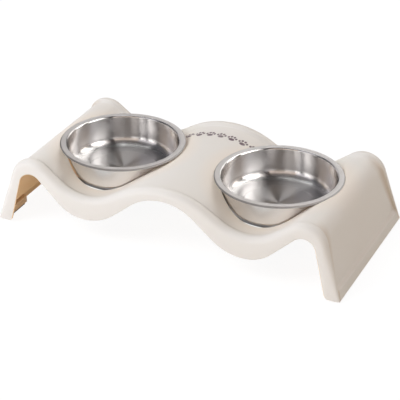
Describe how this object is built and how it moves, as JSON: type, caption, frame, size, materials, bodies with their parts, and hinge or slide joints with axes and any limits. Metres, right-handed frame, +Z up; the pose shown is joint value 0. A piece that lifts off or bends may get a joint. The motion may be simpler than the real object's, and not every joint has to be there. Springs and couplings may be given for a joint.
{
  "type": "double pet bowl",
  "caption": "Raised feeder for a small dog or cat: a wave-shaped moulded stand on soft pads, with round lift-out steel bowls hanging in its dips.",
  "frame": {"origin": "on the floor under the centre of the stand, at the height of the pads' lower faces", "axes": "+X along the stand's length from the left bowl to the right bowl, -Y towards the front, +Z up"},
  "size_m": [0.4044, 0.192, 0.0812],
  "materials": {
    "stand_plastic": "fine satin moulding, cream",
    "bowl_steel": "polished, with faint turning marks",
    "pad_rubber": "matt black"
  },
  "bodies": {
    "stand": {"stand_shell": "stand_plastic", "foot_front_left": "pad_rubber", "foot_front_right": "pad_rubber", "foot_back_left": "pad_rubber", "foot_back_right": "pad_rubber"},
    "left_bowl": {"bowl_left": "bowl_steel"},
    "right_bowl": {"bowl_right": "bowl_steel"}
  },
  "joints": [
    {"name": "bowl_left_lift", "type": "slide", "parent": "stand", "child": "left_bowl", "axis": [0, 0, 1], "range_m": [0, 0.06]},
    {"name": "bowl_right_lift", "type": "slide", "parent": "stand", "child": "right_bowl", "axis": [0, 0, 1], "range_m": [0, 0.06]}
  ]
}
